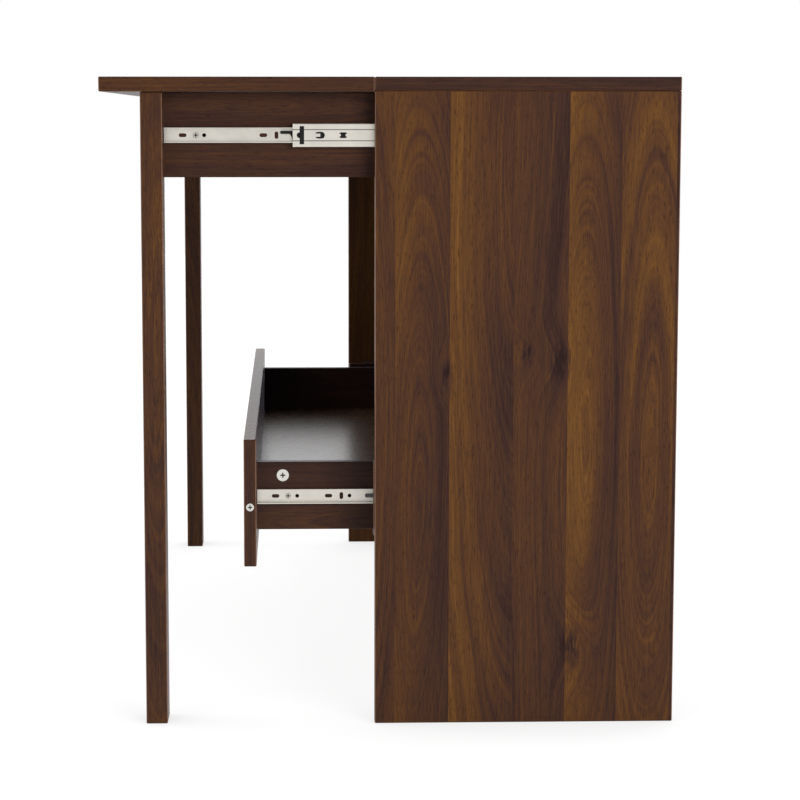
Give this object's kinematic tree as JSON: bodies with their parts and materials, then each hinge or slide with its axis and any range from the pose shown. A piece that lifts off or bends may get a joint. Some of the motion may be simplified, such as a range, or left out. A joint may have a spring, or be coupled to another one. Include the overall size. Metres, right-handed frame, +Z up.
{
  "type": "extending console desk",
  "caption": "Shallow walnut console desk whose leaf folds over onto its fixed top, with a leg frame that slides out on ball-bearing slides to carry the leaf and a wide low drawer.",
  "frame": {"origin": "on the floor, under the middle of the desk's box with the leaf laid out", "axes": "+X along the desk's width, +Y towards its back, +Z up"},
  "size_m": [1.22, 0.673, 0.7642],
  "materials": {
    "walnut_laminate": "satin walnut laminate",
    "drawer_floor_board": "gloss-faced hardboard",
    "raw_wood": "bare",
    "zinc_steel": "zinc plated",
    "ball_steel": "polished",
    "screw_steel": "zinc plated",
    "hinge_steel": "dark plated",
    "black_plastic": "moulded"
  },
  "bodies": {
    "cabinet": {"side_panel_right": "walnut_laminate", "side_panel_left": "walnut_laminate", "fixed_top": "walnut_laminate", "back_panel": "walnut_laminate", "drawer_bearer_right": "walnut_laminate", "drawer_bearer_left": "walnut_laminate", "bearer_packing_blocks": "raw_wood", "frame_slide_outer_right": "zinc_steel", "frame_slide_outer_left": "zinc_steel", "drawer_slide_outer_right": "zinc_steel", "drawer_slide_outer_left": "zinc_steel", "cabinet_slide_screws": "screw_steel", "cabinet_dowels": "raw_wood", "cabinet_cam_fittings": "screw_steel", "hinge_fixed_plates": "hinge_steel", "hinge_pins": "hinge_steel", "hinge_fixed_screws": "screw_steel"},
    "fold_over_leaf": {"leaf": "walnut_laminate", "hinge_leaf_plates": "hinge_steel", "hinge_leaf_screws": "screw_steel"},
    "frame_slide_middles": {"frame_slide_middle_right": "zinc_steel", "frame_slide_middle_left": "zinc_steel", "frame_slide_bumpers": "black_plastic"},
    "frame_inner_cage_set": {"frame_inner_cages": "black_plastic", "frame_inner_balls": "ball_steel"},
    "frame_outer_cage_set": {"frame_outer_cages": "zinc_steel", "frame_outer_balls": "ball_steel"},
    "leg_frame": {"leg_right": "walnut_laminate", "leg_left": "walnut_laminate", "frame_rail_right": "walnut_laminate", "frame_rail_left": "walnut_laminate", "frame_front_rail": "walnut_laminate", "frame_rear_rail": "walnut_laminate", "frame_slide_inner_right": "zinc_steel", "frame_slide_inner_left": "zinc_steel", "frame_slide_screws": "screw_steel", "frame_dowels": "raw_wood"},
    "frame_lever_right": {"frame_release_lever_right": "black_plastic"},
    "frame_lever_left": {"frame_release_lever_left": "black_plastic"},
    "drawer_slide_middles": {"drawer_slide_middle_right": "zinc_steel", "drawer_slide_middle_left": "zinc_steel", "drawer_slide_bumpers": "black_plastic"},
    "drawer_inner_cage_set": {"drawer_inner_cages": "black_plastic", "drawer_inner_balls": "ball_steel"},
    "drawer_outer_cage_set": {"drawer_outer_cages": "zinc_steel", "drawer_outer_balls": "ball_steel"},
    "drawer": {"drawer_front": "walnut_laminate", "drawer_side_right": "walnut_laminate", "drawer_side_left": "walnut_laminate", "drawer_back": "walnut_laminate", "drawer_bottom": "drawer_floor_board", "drawer_slide_inner_right": "zinc_steel", "drawer_slide_inner_left": "zinc_steel", "drawer_slide_screws": "screw_steel", "drawer_cam_fittings": "screw_steel", "drawer_dowels": "raw_wood", "drawer_end_screws": "screw_steel"},
    "drawer_lever_right": {"drawer_release_lever_right": "black_plastic"},
    "drawer_lever_left": {"drawer_release_lever_left": "black_plastic"}
  },
  "joints": [
    {"name": "leaf_fold", "type": "hinge", "parent": "cabinet", "child": "fold_over_leaf", "pos_m": [0, -0.0188, 0.76225], "axis": [-1, 0, 0], "range_deg": [0, 180]},
    {"name": "frame_middle_slide", "type": "slide", "parent": "cabinet", "child": "frame_slide_middles", "axis": [0, 1, 0], "range_m": [0, 0.097]},
    {"name": "leg_frame_slide", "type": "slide", "parent": "frame_slide_middles", "child": "leg_frame", "axis": [0, 1, 0], "range_m": [0, 0.1477]},
    {"name": "frame_inner_cage_roll", "type": "slide", "parent": "frame_slide_middles", "child": "frame_inner_cage_set", "axis": [0, 1, 0], "range_m": [0, 0.07385]},
    {"name": "frame_outer_cage_roll", "type": "slide", "parent": "cabinet", "child": "frame_outer_cage_set", "axis": [0, 1, 0], "range_m": [0, 0.0485]},
    {"name": "drawer_middle_slide", "type": "slide", "parent": "cabinet", "child": "drawer_slide_middles", "axis": [0, -1, 0], "range_m": [0, 0.15]},
    {"name": "drawer_slide", "type": "slide", "parent": "drawer_slide_middles", "child": "drawer", "axis": [0, -1, 0], "range_m": [-0.139, 0.011]},
    {"name": "drawer_inner_cage_roll", "type": "slide", "parent": "drawer_slide_middles", "child": "drawer_inner_cage_set", "axis": [0, -1, 0], "range_m": [-0.0695, 0.0055]},
    {"name": "drawer_outer_cage_roll", "type": "slide", "parent": "cabinet", "child": "drawer_outer_cage_set", "axis": [0, -1, 0], "range_m": [0, 0.075]},
    {"name": "frame_lever_right_press", "type": "hinge", "parent": "leg_frame", "child": "frame_lever_right", "pos_m": [0.5842, -0.1052, 0.69485], "axis": [1, 0, 0], "range_deg": [-5, 8], "stiffness_Nm_per_rad": 0.02},
    {"name": "drawer_lever_right_press", "type": "hinge", "parent": "drawer", "child": "drawer_lever_right", "pos_m": [0.5409, 0.0005, 0.2628], "axis": [1, 0, 0], "range_deg": [-5, 8], "stiffness_Nm_per_rad": 0.02},
    {"name": "frame_lever_left_press", "type": "hinge", "parent": "leg_frame", "child": "frame_lever_left", "pos_m": [-0.5842, -0.1052, 0.69485], "axis": [1, 0, 0], "range_deg": [-5, 8], "stiffness_Nm_per_rad": 0.02},
    {"name": "drawer_lever_left_press", "type": "hinge", "parent": "drawer", "child": "drawer_lever_left", "pos_m": [-0.5409, 0.0005, 0.2628], "axis": [1, 0, 0], "range_deg": [-5, 8], "stiffness_Nm_per_rad": 0.02}
  ],
  "couplings": [
    {"joint": "frame_inner_cage_roll", "follows": "leg_frame_slide", "ratio": 0.5},
    {"joint": "frame_outer_cage_roll", "follows": "frame_middle_slide", "ratio": 0.5},
    {"joint": "drawer_inner_cage_roll", "follows": "drawer_slide", "ratio": 0.5},
    {"joint": "drawer_outer_cage_roll", "follows": "drawer_middle_slide", "ratio": 0.5}
  ]
}
